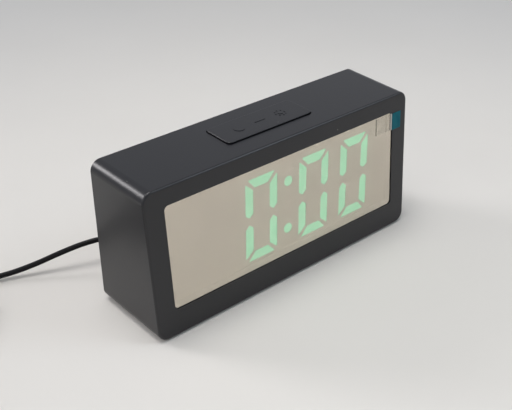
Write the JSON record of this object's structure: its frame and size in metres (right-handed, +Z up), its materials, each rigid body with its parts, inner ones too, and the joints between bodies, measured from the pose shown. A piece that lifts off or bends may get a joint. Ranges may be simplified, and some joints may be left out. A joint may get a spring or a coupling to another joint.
{
  "type": "digital LED desk clock",
  "caption": "Free-standing digital desk clock: a leaning half-mirror face over lit bar digits, a snooze bar on top, setting keys and a battery bay behind, and a thin power lead.",
  "frame": {"origin": "on the table under the middle of the clock, its cord left out", "axes": "+X to the right as the time is read, +Y to the rear, +Z up"},
  "size_m": [0.2455, 0.0954, 0.0698],
  "materials": {
    "housing_black": "satin-gloss black moulding",
    "foot_rubber": "matt black pads",
    "tape_black": "black adhesive foam",
    "half_mirror": "half-silvered acrylic, faintly warm",
    "clear_film": "clear protective film with a few specks",
    "clear_tape": "clear tape",
    "tab_teal": "translucent teal film",
    "lit_diffuser": "diffuser lit from behind",
    "unlit_diffuser": "grey diffuser",
    "reflector_black": "matt black",
    "board_green": "green solder mask",
    "led_white": "white body with a clear top",
    "chip_black": "moulded epoxy",
    "can_steel": "drawn steel can",
    "button_black": "satin-gloss black moulding",
    "switch_black": "moulded",
    "cover_black": "finely textured black moulding",
    "screw_steel": "zinc plated",
    "door_black": "finely textured black moulding",
    "contact_nickel": "nickel plated",
    "spring_steel": "nickel plated wire",
    "key_black": "smooth black moulding",
    "buzzer_black": "moulded",
    "wire_sleeve": "soft wire sleeve",
    "ribbon_grey": "flat cable",
    "cord_black": "smooth black sleeve",
    "tie_black": "soft strap",
    "plug_black": "moulded over the cord",
    "plug_nickel": "nickel plated steel",
    "tongue_white": "moulded",
    "contact_brass": "gold flashed"
  },
  "bodies": {
    "housing": {"front_housing": "housing_black", "rubber_feet": "foot_rubber", "lens_tape": "tape_black", "mirror_lens": "half_mirror", "protective_film": "clear_film", "tab_tape": "clear_tape", "film_pull_tab": "tab_teal", "lit_segments": "lit_diffuser", "unlit_segments": "unlit_diffuser", "digit_reflector": "reflector_black", "display_board": "board_green", "led_chips": "led_white", "driver_chip": "chip_black", "crystal": "can_steel", "snooze_board": "board_green", "snooze_switch": "switch_black", "rear_cover": "cover_black", "cover_screws": "screw_steel", "battery_plates": "contact_nickel", "battery_springs": "spring_steel", "key_board": "board_green", "key_switches": "switch_black", "board_screws": "screw_steel", "buzzer": "buzzer_black", "power_leads": "wire_sleeve", "snooze_leads": "wire_sleeve", "key_ribbon": "ribbon_grey", "cord_grommet": "cord_black", "power_cord": "cord_black", "cord_coil": "cord_black", "cord_tie": "tie_black", "cord_tail": "cord_black", "usb_overmould": "plug_black", "usb_shell": "plug_nickel", "usb_tongue": "tongue_white", "usb_contacts": "contact_brass"},
    "snooze_bar": {"snooze_button": "button_black"},
    "mode": {"mode_key": "key_black"},
    "alarm": {"alarm_key": "key_black"},
    "up": {"up_key": "key_black"},
    "down": {"down_key": "key_black"},
    "door": {"battery_door": "door_black"}
  },
  "joints": [
    {"name": "snooze_press", "type": "slide", "parent": "housing", "child": "snooze_bar", "axis": [0, 0, -1], "range_m": [0, 0.0006], "stiffness_N_per_m": 2500},
    {"name": "mode_press", "type": "slide", "parent": "housing", "child": "mode", "axis": [0, -1, 0], "range_m": [0, 0.0005], "stiffness_N_per_m": 2000},
    {"name": "alarm_press", "type": "slide", "parent": "housing", "child": "alarm", "axis": [0, -1, 0], "range_m": [0, 0.0005], "stiffness_N_per_m": 2000},
    {"name": "up_press", "type": "slide", "parent": "housing", "child": "up", "axis": [0, -1, 0], "range_m": [0, 0.0005], "stiffness_N_per_m": 2000},
    {"name": "down_press", "type": "slide", "parent": "housing", "child": "down", "axis": [0, -1, 0], "range_m": [0, 0.0005], "stiffness_N_per_m": 2000},
    {"name": "door_pull", "type": "slide", "parent": "housing", "child": "door", "axis": [0, 1, 0], "range_m": [0, 0.02]}
  ]
}
